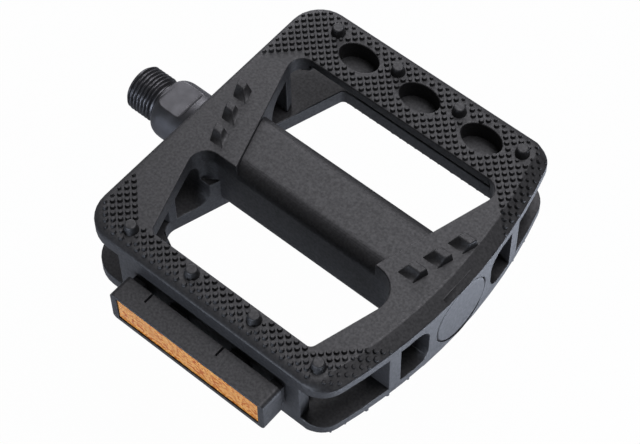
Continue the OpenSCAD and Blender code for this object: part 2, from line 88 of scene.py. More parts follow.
class PedalForm(bpy.types.PropertyGroup):
    """Sizes of the fine forms that the drawn surface adds to the solids."""

    edge_round: FloatProperty(
        name="Edge rounding", description="Radius on the moulded edges", default=0.40 * MM, unit="LENGTH")
    small_edge_round: FloatProperty(
        name="Small edge rounding", description="Radius on the edges of the reflector, cap and spindle",
        default=0.28 * MM, unit="LENGTH")
    dot_pitch: FloatProperty(
        name="Dot pitch", description="Distance of the tread dots along the axle", default=2.89 * MM,
        unit="LENGTH")
    dot_width: FloatProperty(
        name="Dot width", description="Width of a tread dot at its foot", default=1.70 * MM, unit="LENGTH")
    dot_height: FloatProperty(
        name="Dot height", description="Height of a tread dot over the tread", default=0.90 * MM,
        unit="LENGTH")
    thread_pitch: FloatProperty(
        name="Thread pitch", description="Advance of the crank thread in a turn", default=1.27 * MM,
        unit="LENGTH")
    prism_pitch: FloatProperty(
        name="Prism pitch", description="Width of a prism behind the reflector face", default=1.9 * MM,
        unit="LENGTH")
    dot_sides: IntProperty(name="Dot sides", description="Sides of a tread dot", default=10, min=6, max=16)


class PedalFinish(bpy.types.PropertyGroup):
    """Colours and roughness of the finishes, with the painted shade of the lens prisms."""

    plastic_colour: FloatVectorProperty(
        name="Moulded plastic", description="Colour of the platform and housing",
        default=(0.017, 0.017, 0.018), size=3, min=0, max=1, subtype="COLOR")
    plastic_roughness: FloatProperty(
        name="Plastic roughness", description="Mean roughness of the moulded plastic", default=0.52,
        min=0, max=1, subtype="FACTOR")
    oxide_colour: FloatVectorProperty(
        name="Black oxide", description="Colour of the spindle", default=(0.10, 0.10, 0.105),
        size=3, min=0, max=1, subtype="COLOR")
    ground_colour: FloatVectorProperty(
        name="Ground steel", description="Colour of the bearing parts", default=(0.60, 0.60, 0.61),
        size=3, min=0, max=1, subtype="COLOR")
    rubber_colour: FloatVectorProperty(
        name="Seal rubber", description="Colour of the seal", default=(0.018, 0.018, 0.018),
        size=3, min=0, max=1, subtype="COLOR")
    lens_colour: FloatVectorProperty(
        name="Amber lens", description="Colour of the reflector lens", default=(1.0, 0.44, 0.09),
        size=3, min=0, max=1, subtype="COLOR")
    # Painted shade: the darker colour painted on single prisms of the lens, for the dark reflections they
    # show
    prism_shade_colour: FloatVectorProperty(
        name="Lens flecks", description="Colour of the single prisms that show darker",
        default=(0.62, 0.14, 0.003), size=3, min=0, max=1, subtype="COLOR")


class PedalStage(bpy.types.PropertyGroup):
    """Light, floor and camera."""

    floor_drop: FloatProperty(
        name="Floor drop", description="Depth of the floor under the axle, clear of the turning platform",
        default=75 * MM, unit="LENGTH")
    key_power: FloatProperty(
        name="Key lamp", description="Power of the soft lamp high behind the pedal", default=2.8,
        unit="POWER")
    key_size: FloatProperty(name="Key size", description="Width of that lamp", default=0.35, unit="LENGTH")
    end_power: FloatProperty(
        name="End lamp", description="Power of the lamp near the floor before the outer end", default=0.32,
        unit="POWER")
    side_power: FloatProperty(
        name="Side lamp", description="Power of the soft lamp over the outer end", default=2.3,
        unit="POWER")
    front_power: FloatProperty(
        name="Front lamp", description="Power of the low lamp before the reflector", default=1.65,
        unit="POWER")
    back_power: FloatProperty(
        name="Back lamp", description="Power of the soft lamp behind the crank side", default=1.5,
        unit="POWER")
    soft_size: FloatProperty(
        name="Soft size", description="Width of the side lamp and the back lamp", default=0.3, unit="LENGTH")
    low_width: FloatProperty(
        name="Low width", description="Width of the end lamp and the front lamp", default=0.3, unit="LENGTH")
    low_height: FloatProperty(
        name="Low height", description="Height of the end lamp and the front lamp", default=0.026,
        unit="LENGTH")
    sky: FloatProperty(name="Surroundings", description="Strength of the even light", default=0.08, min=0)
    azimuth: FloatProperty(
        name="Azimuth", description="Turn of the camera about the vertical", default=math.radians(40.944),
        subtype="ANGLE")
    elevation: FloatProperty(
        name="Elevation", description="Tilt of the camera over the floor", default=math.radians(57.194),
        subtype="ANGLE")
    roll: FloatProperty(
        name="Roll", description="Turn of the camera about its own axis", default=math.radians(-1.015),
        subtype="ANGLE")
    distance: FloatProperty(
        name="Distance", description="Distance of the camera along its axis", default=585.741 * MM,
        unit="LENGTH")
    aside: FloatProperty(
        name="Aside", description="Shift of the camera to its right", default=44.29 * MM, unit="LENGTH")
    raised: FloatProperty(
        name="Raised", description="Shift of the camera upwards in the image", default=-34.387 * MM,
        unit="LENGTH")
    lens: FloatProperty(
        name="Focal length", description="Focal length in millimetres on the sensor of the camera",
        default=112.5)


def noise(tree, coordinates, scale, detail):
    """A noise texture on object coordinates, its scale in turns to the millimetre."""
    node = tree.nodes.new("ShaderNodeTexNoise")
    node.inputs["Scale"].default_value = scale / MM
    node.inputs["Detail"].default_value = detail
    tree.links.new(coordinates, node.inputs["Vector"])
    return node.outputs["Fac"]


def spread(tree, value, low, high, start=0.3, stop=0.7):
    """A value brought from one range into another."""
    node = tree.nodes.new("ShaderNodeMapRange")
    node.inputs["From Min"].default_value = start
    node.inputs["From Max"].default_value = stop
    node.inputs["To Min"].default_value = low
    node.inputs["To Max"].default_value = high
    tree.links.new(value, node.inputs["Value"])
    return node.outputs["Result"]


def times(tree, first, second):
    """The product of two values."""
    node = tree.nodes.new("ShaderNodeMath")
    node.operation = "MULTIPLY"
    tree.links.new(first, node.inputs[0])
    tree.links.new(second, node.inputs[1])
    return node.outputs["Value"]


def mixed(tree, factor, first, second):
    """One of two colours or a blend of them. A colour may be a socket or plain numbers."""
    node = tree.nodes.new("ShaderNodeMix")
    node.data_type = "RGBA"
    tree.links.new(factor, node.inputs["Factor"])
    # The mix node has sockets of one name for each type of data: 6, 7 and the result 2 are its colours
    for socket, colour in ((node.inputs[6], first), (node.inputs[7], second)):
        if isinstance(colour, bpy.types.NodeSocket):
            tree.links.new(colour, socket)
        else:
            socket.default_value = (*colour, 1)
    return node.outputs[2]


def start_material(name):
    """A new material with its tree, its shader and its object coordinates."""
    material = bpy.data.materials.new(name)
    material.use_nodes = True
    tree = material.node_tree
    shader = tree.nodes["Principled BSDF"]
    place = tree.nodes.new("ShaderNodeTexCoord").outputs["Object"]
    return material, tree, shader, place


def bump(tree, shader, height, distance, strength=1.0):
    """Drives the shader's normal by a height."""
    node = tree.nodes.new("ShaderNodeBump")
    node.inputs["Distance"].default_value = distance
    node.inputs["Strength"].default_value = strength
    tree.links.new(height, node.inputs["Height"])
    tree.links.new(node.outputs["Normal"], shader.inputs["Normal"])


def shaded(colour, factor):
    """A colour made lighter or darker."""
    return tuple(min(1, channel * factor) for channel in colour)


def moulded_plastic(name, colour, roughness):
    """Charcoal plastic out of a fine-grained mould, rubbed lighter on its edges."""
    material, tree, shader, place = start_material(name)
    cloud = noise(tree, place, scale=0.05, detail=3)
    speck = noise(tree, place, scale=1.6, detail=2)
    patch = noise(tree, place, scale=0.35, detail=4)
    sheen = noise(tree, place, scale=0.9, detail=3)
    glint = noise(tree, place, scale=1.3, detail=2)
    grain = noise(tree, place, scale=1.8, detail=3)
    base = mixed(tree, spread(tree, cloud, 0, 1), shaded(colour, factor=0.95), shaded(colour, factor=1.06))
    base = mixed(tree, spread(tree, speck, 0, 0.6, start=0.45, stop=0.8), base, shaded(colour, factor=1.6))
    worn = tree.nodes.new("ShaderNodeAttribute")
    worn.attribute_name = "edge_wear"
    rub = times(tree, worn.outputs["Fac"], spread(tree, patch, low=0.1, high=0.6))
    matt = spread(tree, sheen, low=roughness - 0.03, high=roughness + 0.04)
    tree.links.new(mixed(tree, rub, base, shaded(colour, factor=2.0)), shader.inputs["Base Color"])
    tree.links.new(matt, shader.inputs["Roughness"])
    tree.links.new(spread(tree, glint, low=0.36, high=0.66), shader.inputs["Specular IOR Level"])
    bump(tree, shader, grain, distance=0.011 * MM)
    return material


def steel(name, colour, roughness, streak):
    """Turned steel: fine rings round the axle from the lathe, and stains in the finish."""
    material, tree, shader, place = start_material(name)
    shader.inputs["Metallic"].default_value = 1
    along = tree.nodes.new("ShaderNodeMapping")
    along.inputs["Scale"].default_value = (1, 0.02, 0.02)
    tree.links.new(place, along.inputs["Vector"])
    rings = noise(tree, along.outputs["Vector"], scale=streak, detail=3)
    stain = noise(tree, place, scale=0.25, detail=4)
    base = mixed(tree, spread(tree, stain, 0, 1), shaded(colour, factor=0.8), shaded(colour, factor=1.2))
    matt = spread(tree, rings, low=roughness - 0.04, high=roughness + 0.05)
    tree.links.new(base, shader.inputs["Base Color"])
    tree.links.new(matt, shader.inputs["Roughness"])
    bump(tree, shader, rings, distance=0.002 * MM, strength=0.7)
    return material


def seal_rubber(name, colour):
    """Matt black rubber with a dusty bloom."""
    material, tree, shader, place = start_material(name)
    bloom = noise(tree, place, scale=0.3, detail=4)
    base = mixed(tree, spread(tree, bloom, 0, 1), colour, shaded(colour, factor=1.7))
    tree.links.new(base, shader.inputs["Base Color"])
    tree.links.new(spread(tree, bloom, low=0.6, high=0.78), shader.inputs["Roughness"])
    bump(tree, shader, noise(tree, place, scale=1.2, detail=3), distance=0.01 * MM)
    return material


def amber(name, colour, prism_shade_colour):
    """Amber acrylic, a little clear, with darker flecks of painted shade where single prisms are seen
    through its face.
    """
    material, tree, shader, place = start_material(name)
    shader.inputs["Transmission Weight"].default_value = 0.2
    shader.inputs["IOR"].default_value = 1.49
    along = tree.nodes.new("ShaderNodeMapping")
    along.inputs["Scale"].default_value = (0.8, 1, 1)
    tree.links.new(place, along.inputs["Vector"])
    fleck = noise(tree, along.outputs["Vector"], scale=1.3, detail=1)
    streak = noise(tree, place, scale=0.12, detail=3)
    base = mixed(tree, spread(tree, streak, 0, 1), shaded(colour, factor=0.88), shaded(colour, factor=1.05))
    # Painted shade: flecks where single prisms show dark, mixed into the colour of the lens
    sharp = spread(tree, fleck, 0, 1, start=0.51, stop=0.55)
    dense = spread(tree, streak, low=0.5, high=1, start=0.4, stop=0.55)
    tree.links.new(mixed(tree, times(tree, sharp, dense), base, prism_shade_colour), shader.inputs["Base Color"])
    tree.links.new(spread(tree, fleck, low=0.10, high=0.22), shader.inputs["Roughness"])
    bump(tree, shader, fleck, distance=0.03 * MM, strength=0.5)
    return material


def new_finish(slot, name):
    """A new material for a slot of the record."""
    look = bpy.context.scene.pedal_finish
    plastic = tuple(look.plastic_colour)
    if slot == "black_plastic":
        return moulded_plastic(name, plastic, look.plastic_roughness)
    if slot == "dark_plastic":
        return moulded_plastic(name, shaded(plastic, factor=0.7), roughness=0.5)
    if slot == "black_steel":
        return steel(name, tuple(look.oxide_colour), roughness=0.48, streak=1.2)
    if slot == "bearing_steel":
        return steel(name, tuple(look.ground_colour), roughness=0.22, streak=2.0)
    if slot == "seal_rubber":
        return seal_rubber(name, tuple(look.rubber_colour))
    if slot == "amber_lens":
        return amber(name, tuple(look.lens_colour), tuple(look.prism_shade_colour))
    raise RuntimeError("no finish is known for the slot " + slot)


def finish_of(slot):
    """The material of a slot, made when it is first asked for."""
    name = "pedal " + slot.replace("_", " ")
    return bpy.data.materials.get(name) or new_finish(slot, name)


def dress(piece, slot):
    """Gives a piece or a CAD node one finish all over."""
    piece.data.materials.clear()
    piece.data.materials.append(finish_of(slot))


def new_piece(name, mesh):
    """A new object at the origin with that mesh."""
    piece = bpy.data.objects.new(name, mesh)
    bpy.context.scene.collection.objects.link(piece)
    return piece


def merged_copy(node, name):
    """A copy of a CAD node with its loose triangles joined into flat faces."""
    mesh = NODES[node].data.copy()
    mesh.name = name
    shape = bmesh.new()
    shape.from_mesh(mesh)
    bmesh.ops.remove_doubles(shape, verts=shape.verts, dist=MERGE_DISTANCE)
    bmesh.ops.dissolve_limit(
        shape, angle_limit=FLAT_TURN, verts=shape.verts, edges=shape.edges, delimit={"NORMAL"})
    shape.to_mesh(mesh)
    shape.free()
    return new_piece(name, mesh)


def settled(piece):
    """Turns what the modifiers give into the piece's own plain mesh."""
    seen = piece.evaluated_get(bpy.context.evaluated_depsgraph_get())
    mesh = bpy.data.meshes.new_from_object(seen)
    piece.modifiers.clear()
    old = piece.data
    piece.data = mesh
    bpy.data.meshes.remove(old)


def face_width(face):
    """Width of a long face, or half the width of a square one."""
    return 2 * face.calc_area() / max(face.calc_perimeter(), MERGE_DISTANCE)


def mark_wear(mesh, radius):
    """Marks the narrow strips that round the outer edges, for the rubbed look."""
    shape = bmesh.new()
    shape.from_mesh(mesh)
    wear = []
    for face in shape.faces:
        strip = face_width(face) < WORN_WIDTH * radius
        for loop in face.loops:
            turns = [edge.calc_face_angle_signed(0) for edge in loop.vert.link_edges if edge in face.edges]
            wear.append(float(strip and max(turns) > math.radians(WORN_TURN)))
    shape.free()
    mesh.attributes.new("edge_wear", "FLOAT", "CORNER").data.foreach_set("value", wear)


def crowded(plain, normals, mesh, radius):
    """Places of a rounded mesh where a corner left the plain surface or a small face turned over."""
    for corner in mesh.vertices:
        if plain.find_nearest(corner.co)[3] > STRAY_SHARE * radius:
            yield corner.co
    for face in mesh.polygons:
        if SLIVER_AREA < face.area < SMALL_AREA:
            nearest = plain.find_nearest(face.center)[2]
            if face.normal.dot(normals[nearest]) < TURNED_OVER:
                for corner in face.vertices:
                    yield mesh.vertices[corner].co


def rounded_share(edge):
    """1 for an edge that is rounded, a sharp outer one or a blunter one between two wide faces, else 0."""
    turn = math.degrees(edge.calc_face_angle_signed(0))
    wide = all(face_width(face) > WIDE_FACE for face in edge.link_faces)
    return float(turn > SHARP_TURN or (wide and turn > BLUNT_TURN))


def round_edges(piece, radius):
    """Rounds the outer edges, less where they crowd, and smooths the rest."""
    mesh = piece.data
    shape = bmesh.new()
    shape.from_mesh(mesh)
    plain = BVHTree.FromBMesh(shape)
    normals = [face.normal.copy() for face in shape.faces]
    share = [rounded_share(edge) for edge in shape.edges]
    touching = [[edge.index for edge in corner.link_edges] for corner in shape.verts]
    shape.free()
    corners = KDTree(len(mesh.vertices))
    for corner in mesh.vertices:
        corners.insert(corner.co, corner.index)
    corners.balance()
    weights = mesh.attributes.new("bevel_weight_edge", "FLOAT", "EDGE").name
    rounding = piece.modifiers.new("Rounded edges", "BEVEL")
    rounding.width = radius
    rounding.segments = ROUND_STEPS
    rounding.limit_method = "WEIGHT"
    rounding.use_clamp_overlap = False
    rounding.loop_slide = False
    for attempt in range(ROUNDING_TRIES):
        mesh.attributes[weights].data.foreach_set("value", share)
        mesh.update()
        trial = bpy.data.meshes.new_from_object(piece.evaluated_get(bpy.context.evaluated_depsgraph_get()))
        crowd = {corners.find(place)[1] for place in crowded(plain, normals, trial, radius)}
        bpy.data.meshes.remove(trial)
        for edge in {edge for corner in crowd for edge in touching[corner]}:
            share[edge] *= EASED_SHARE if attempt < ROUNDING_TRIES // 2 else 0
        if not crowd:
            break
    settled(piece)
    piece.data.shade_smooth()
    piece.data.set_sharp_from_angle(angle=CREASE)
    even = piece.modifiers.new("Even shading", "WEIGHTED_NORMAL")
    even.keep_sharp = True
    settled(piece)
    mark_wear(piece.data, radius)


def hand_over(piece, body, slot, *nodes):
    """Dresses a finished piece in the finish of its slot, hangs it on the empty of its body and hides the
    nodes it stands for.
    """
    dress(piece, slot)
    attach(piece, body)
    if nodes:
        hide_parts(*nodes)


class PEDAL_OT_body(bpy.types.Operator):
    """Platform with rounded edges in place of the plain solid"""

    bl_idname = "pedal.body"
    bl_label = "Platform"

    def execute(self, context):
        piece = merged_copy("pedal_body", "platform_shell")
        round_edges(piece, context.scene.pedal_form.edge_round)
        hand_over(piece, "platform", "black_plastic", "pedal_body")
        return {"FINISHED"}


class PEDAL_OT_dots(bpy.types.Operator):
    """Rows of small dots moulded on both treads"""

    bl_idname = "pedal.dots"
    bl_label = "Tread dots"

    # First place of the lattice on the rear and on the front bar, in millimetres as all places here
    rear_start = (1.25, -0.68)
    front_start = (1.69, 1.17)
    # The dotted fields end at these lines along the bars and at these slanted lines in the corners
    rear_edge = 32.2
    front_edge = -41.9
    crank_rear_line = 7.9
    crank_front_line = 13.6
    end_rear_line = 127.4
    end_front_line = 131.9
    crank_side = 13.8
    end_side = 108.8
    half_width = 50.6
    # Sizes that are tried for a dot, each with the radius of the level tread that it needs
    rings = ((1.0, 0.85), (0.7, 0.55))
    ring_steps = 8
    level_tolerance = 0.30
    # Dots stand on faces between these heights, found by rays that start high above the tread
    tread_floor = 9.0
    tread_top = 13.25
    ray_start = 30
    # Dots get smaller where the tread leans out by more than edge_turn, and end where it leans by edge_end
    edge_turn = 0.10
    edge_end = 0.30
    edge_size = 0.75
    # Radius of a dot at its top and its foot, as a share of its width
    top_share = 0.33
    foot_share = 0.50

    def dotted(self, x, y):
        """Whether a place of the upper tread, in millimetres, is in the dotted field."""
        if y > 0:
            return y > self.rear_edge or y - x > self.crank_rear_line or x + y > self.end_rear_line
        return y < self.front_edge or -x - y > self.crank_front_line or x - y > self.end_front_line

    def share(self, tree, spot, slope):
        """Size of a dot by the free and level tread round it, or 0 where it has no room."""
        for size, ring in self.rings:
            for turn in range(self.ring_steps):
                angle = math.tau * turn / self.ring_steps
                aside = spot + mm(ring * math.cos(angle), ring * math.sin(angle), 0)
                aside.z = self.ray_start * MM
                hit = tree.ray_cast(aside, DOWN)[0]
                if hit is None or abs((hit - spot).dot(slope)) > self.level_tolerance * MM:
                    break
            else:
                return size
        return 0

    def lattice(self, pitch, start, low, high):
        """Places of a square lattice that stands on its corner, with steps enough to pass the tread."""
        reach = int((self.end_side + self.half_width) / pitch) + 2
        for step in range(-reach, reach + 1):
            for aside in range(-reach, reach + 1):
                x = start[0] + pitch * (step + aside) / 2
                y = start[1] + pitch * (step - aside) / 2
                if self.crank_side < x < self.end_side and low < y < high:
                    yield x, y

    def places(self, pitch):
        """Feet, directions and sizes of the dots of both treads."""
        body = NODES["pedal_body"].data
        tree = BVHTree.FromPolygons(
            [vertex.co for vertex in body.vertices], [tuple(face.vertices) for face in body.polygons])
        feet, slopes, sizes = [], [], []
        rear = (self.rear_start, 0, self.half_width)
        front = (self.front_start, -self.half_width, 0)
        for start, low, high in (rear, front):
            for x, y in self.lattice(pitch, start, low, high):
                if not self.dotted(x, y):
                    continue
                spot, slope = tree.ray_cast(mm(x, y, self.ray_start), DOWN)[:2]
                if spot is None or not self.tread_floor * MM < spot.z < self.tread_top * MM:
                    continue
                turned_out = math.hypot(slope.y, min(0, slope.x))
                if turned_out > self.edge_end:
                    continue
                size = self.share(tree, spot, slope)
                if turned_out > self.edge_turn:
                    size *= self.edge_size
                if not size:
                    continue
                for side in (1, -1):
                    feet.append(Vector((spot.x, side * spot.y, side * spot.z)))
                    slopes.append(Vector((slope.x, side * slope.y, side * slope.z)))
                    sizes.append(size)
        return feet, slopes, sizes

    def tree(self):
        """Geometry nodes that set a dot on every point."""
        tree = bpy.data.node_groups.new("Tread dots", "GeometryNodeTree")
        tree.is_modifier = True
        ends = tree.interface
        ends.new_socket("Geometry", in_out="INPUT", socket_type="NodeSocketGeometry")
        sockets = {
            "Dot width": ends.new_socket("Dot width", in_out="INPUT", socket_type="NodeSocketFloat"),
            "Dot height": ends.new_socket("Dot height", in_out="INPUT", socket_type="NodeSocketFloat"),
            "Dot sides": ends.new_socket("Dot sides", in_out="INPUT", socket_type="NodeSocketInt"),
            "Finish": ends.new_socket("Finish", in_out="INPUT", socket_type="NodeSocketMaterial")}
        ends.new_socket("Geometry", in_out="OUTPUT", socket_type="NodeSocketGeometry")
        make = tree.nodes.new
        link = tree.links.new
        given = make("NodeGroupInput").outputs
        dot = make("GeometryNodeMeshCone")
        for factor, socket in ((self.top_share, "Radius Top"), (self.foot_share, "Radius Bottom")):
            scaled = make("ShaderNodeMath")
            scaled.operation = "MULTIPLY"
            scaled.inputs[1].default_value = factor
            link(given["Dot width"], scaled.inputs[0])
            link(scaled.outputs["Value"], dot.inputs[socket])
        link(given["Dot sides"], dot.inputs["Vertices"])
        link(given["Dot height"], dot.inputs["Depth"])
        slope = make("GeometryNodeInputNamedAttribute")
        slope.data_type = "FLOAT_VECTOR"
        slope.inputs["Name"].default_value = "slope"
        upright = make("FunctionNodeAlignRotationToVector")
        upright.axis = "Z"
        link(slope.outputs["Attribute"], upright.inputs["Vector"])
        size = make("GeometryNodeInputNamedAttribute")
        size.data_type = "FLOAT"
        size.inputs["Name"].default_value = "dot_size"
        placed = make("GeometryNodeInstanceOnPoints")
        link(given["Geometry"], placed.inputs["Points"])
        link(dot.outputs["Mesh"], placed.inputs["Instance"])
        link(upright.outputs["Rotation"], placed.inputs["Rotation"])
        link(size.outputs["Attribute"], placed.inputs["Scale"])
        real = make("GeometryNodeRealizeInstances")
        link(placed.outputs["Instances"], real.inputs["Geometry"])
        coat = make("GeometryNodeSetMaterial")
        link(real.outputs["Geometry"], coat.inputs["Geometry"])
        link(given["Finish"], coat.inputs["Material"])
        link(coat.outputs["Geometry"], make("NodeGroupOutput").inputs["Geometry"])
        return tree, sockets

    def execute(self, context):
        form = context.scene.pedal_form
        feet, slopes, sizes = self.places(form.dot_pitch / MM)
        if not feet:
            raise RuntimeError("no place for the tread dots was found")
        mesh = bpy.data.meshes.new("tread_dots")
        mesh.from_pydata(feet, [], [])
        mesh.attributes.new("slope", "FLOAT_VECTOR", "POINT").data.foreach_set(
            "vector", [part for slope in slopes for part in slope])
        mesh.attributes.new("dot_size", "FLOAT", "POINT").data.foreach_set("value", sizes)
        piece = new_piece("tread_dots", mesh)
        rows = piece.modifiers.new("Tread dots", "NODES")
        rows.node_group, sockets = self.tree()
        rows[sockets["Dot width"].identifier] = form.dot_width
        rows[sockets["Dot height"].identifier] = form.dot_height
        rows[sockets["Dot sides"].identifier] = form.dot_sides
        rows[sockets["Finish"].identifier] = finish_of("black_plastic")
        settled(piece)
        hand_over(piece, "platform", "black_plastic")
        return {"FINISHED"}


class PEDAL_OT_spindle(bpy.types.Operator):
    """Spindle with a true helix in place of the rings of the solid"""

    bl_idname = "pedal.spindle"
    bl_label = "Spindle"

    # Where the drawn thread meets the shaft of the solid, in millimetres along the axle
    cut_at = -1.45
    # Outer radius of the thread, its depth, the length over which it fades and the radius it fades to
    crest = 7.14
    thread_depth = 0.78
    run_out = 0.9
    root_round = 6.04
    tip_chamfer = 1.1
    # Shares of the pitch that are level at the crest and at the root
    crest_flat = 0.16
    root_flat = 0.20
    turn_steps = 64
    pitch_steps = 10
    thread_crease = math.radians(50)

    def radius(self, x, turn, pitch, tip):
        """Radius of the thread, in millimetres, at a place along the axle and a share of a turn."""
        wave = abs(((x / pitch + turn) % 1) * 2 - 1)
        flank = (wave - self.crest_flat) / (1 - self.crest_flat - self.root_flat)
        cut = self.thread_depth * min(1, max(0, flank))
        fade = min(1, (self.cut_at - x) / self.run_out)
        core = self.root_round + (self.crest - cut - self.root_round) * max(0, fade)
        return min(core, self.crest - self.tip_chamfer + (x - tip))

    def thread(self, pitch, tip):
        """Mesh of the thread from its tip to its run-out."""
        steps = int((self.cut_at - tip) / pitch * self.pitch_steps)
        shape = bmesh.new()
        rings = []
        for row in range(steps + 1):
            x = tip + (self.cut_at - tip) * row / steps
            ring = []
            for column in range(self.turn_steps):
                turn = column / self.turn_steps
                angle = math.tau * turn
                radius = self.radius(x, turn, pitch, tip)
                ring.append(shape.verts.new(mm(x, radius * math.cos(angle), radius * math.sin(angle))))
            rings.append(ring)
        for first, second in zip(rings, rings[1:]):
            for column in range(self.turn_steps):
                beside = (column + 1) % self.turn_steps
                shape.faces.new((first[column], first[beside], second[beside], second[column]))
        shape.faces.new(rings[0])
        shape.faces.new(rings[-1])
        bmesh.ops.recalc_face_normals(shape, faces=shape.faces)
        mesh = bpy.data.meshes.new("crank_thread")
        shape.to_mesh(mesh)
        shape.free()
        return mesh

    def execute(self, context):
        form = context.scene.pedal_form
        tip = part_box("spindle")[0].x / MM
        shaft = merged_copy("spindle", "spindle_shaft")
        shape = bmesh.new()
        shape.from_mesh(shaft.data)
        bmesh.ops.bisect_plane(
            shape, geom=shape.verts[:] + shape.edges[:] + shape.faces[:], plane_co=mm(self.cut_at, 0, 0),
            plane_no=(1, 0, 0), clear_inner=True)
        bmesh.ops.holes_fill(shape, edges=[edge for edge in shape.edges if edge.is_boundary])
        shape.to_mesh(shaft.data)
        shape.free()
        round_edges(shaft, form.small_edge_round)
        hand_over(shaft, "spindle", "black_steel", "spindle")
        screw = new_piece("crank_thread", self.thread(form.thread_pitch / MM, tip))
        screw.data.shade_smooth()
        screw.data.set_sharp_from_angle(angle=self.thread_crease)
        hand_over(screw, "spindle", "black_steel")
        return {"FINISHED"}


class PEDAL_OT_bearings(bpy.types.Operator):
    """Rounded end cap, and the finishes of the nodes that are shown as they are"""

    bl_idname = "pedal.bearings"
    bl_label = "Bearings, seal and cap"

    carried = {
        "inner_seal": "seal_rubber", "inner_cup": "bearing_steel", "outer_cup": "bearing_steel",
        "inner_balls": "bearing_steel", "outer_balls": "bearing_steel", "outer_cone": "bearing_steel",
        "lock_washer": "bearing_steel", "lock_nut": "bearing_steel", "reflector_back": "dark_plastic"}

    def execute(self, context):
        for node, slot in self.carried.items():
            dress(NODES[node], slot)
        cap = merged_copy("end_cap", "end_plug")
        round_edges(cap, context.scene.pedal_form.small_edge_round)
        hand_over(cap, "platform", "black_plastic", "end_cap")
        return {"FINISHED"}


class PEDAL_OT_reflector(bpy.types.Operator):
    """Reflector housing with rounded edges, and its lens with a field of prisms behind the face"""

    bl_idname = "pedal.reflector"
    bl_label = "Reflector"

    # Thickness of the clear face, height of a prism and width of the plain rim, in millimetres
    face_thickness = 1.5
    prism_height = 1.1
    rim = 0.9

    def lens(self, pitch):
        """Mesh of the lens: a flat face, and pyramids on its back inside a plain rim."""
        low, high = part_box("reflector_lens")
        front = low.y
        back = low.y + self.face_thickness * MM
        tip = back + self.prism_height * MM
        rim = self.rim * MM
        columns = round((high.x - low.x - 2 * rim) / pitch)
        rows = round((high.z - low.z - 2 * rim) / pitch)
        shape = bmesh.new()

        def x_at(column):
            return low.x + rim + (high.x - low.x - 2 * rim) * column / columns

        def z_at(row):
            return low.z + rim + (high.z - low.z - 2 * rim) * row / rows

        grid = [[shape.verts.new((x_at(c), back, z_at(r))) for c in range(columns + 1)]
                for r in range(rows + 1)]
        for r in range(rows):
            for c in range(columns):
                peak = shape.verts.new((x_at(c + 0.5), tip, z_at(r + 0.5)))
                ring = (grid[r][c], grid[r][c + 1], grid[r + 1][c + 1], grid[r + 1][c])
                for side in range(4):
                    shape.faces.new((ring[side], ring[(side + 1) % 4], peak))
        outer_back = [shape.verts.new((x, back, z)) for x, z in (
            (low.x, low.z), (high.x, low.z), (high.x, high.z), (low.x, high.z))]
        outer_front = [shape.verts.new((corner.co.x, front, corner.co.z)) for corner in outer_back]
        sides = (
            grid[0], [row[-1] for row in grid], grid[-1][::-1], [row[0] for row in grid][::-1])
        for side, inner in enumerate(sides):
            beside = (side + 1) % 4
            shape.faces.new([outer_back[beside], outer_back[side]] + inner)
            shape.faces.new((outer_back[side], outer_back[beside], outer_front[beside], outer_front[side]))
        shape.faces.new(outer_front)
        bmesh.ops.recalc_face_normals(shape, faces=shape.faces)
        mesh = bpy.data.meshes.new("prism_lens")
        shape.to_mesh(mesh)
        shape.free()
        return mesh

    def execute(self, context):
        form = context.scene.pedal_form
        housing = merged_copy("reflector_housing", "reflector_shell")
        round_edges(housing, form.small_edge_round)
        hand_over(housing, "platform", "black_plastic", "reflector_housing")
        lens = new_piece("prism_lens", self.lens(form.prism_pitch))
        hand_over(lens, "platform", "amber_lens", "reflector_lens")
        return {"FINISHED"}


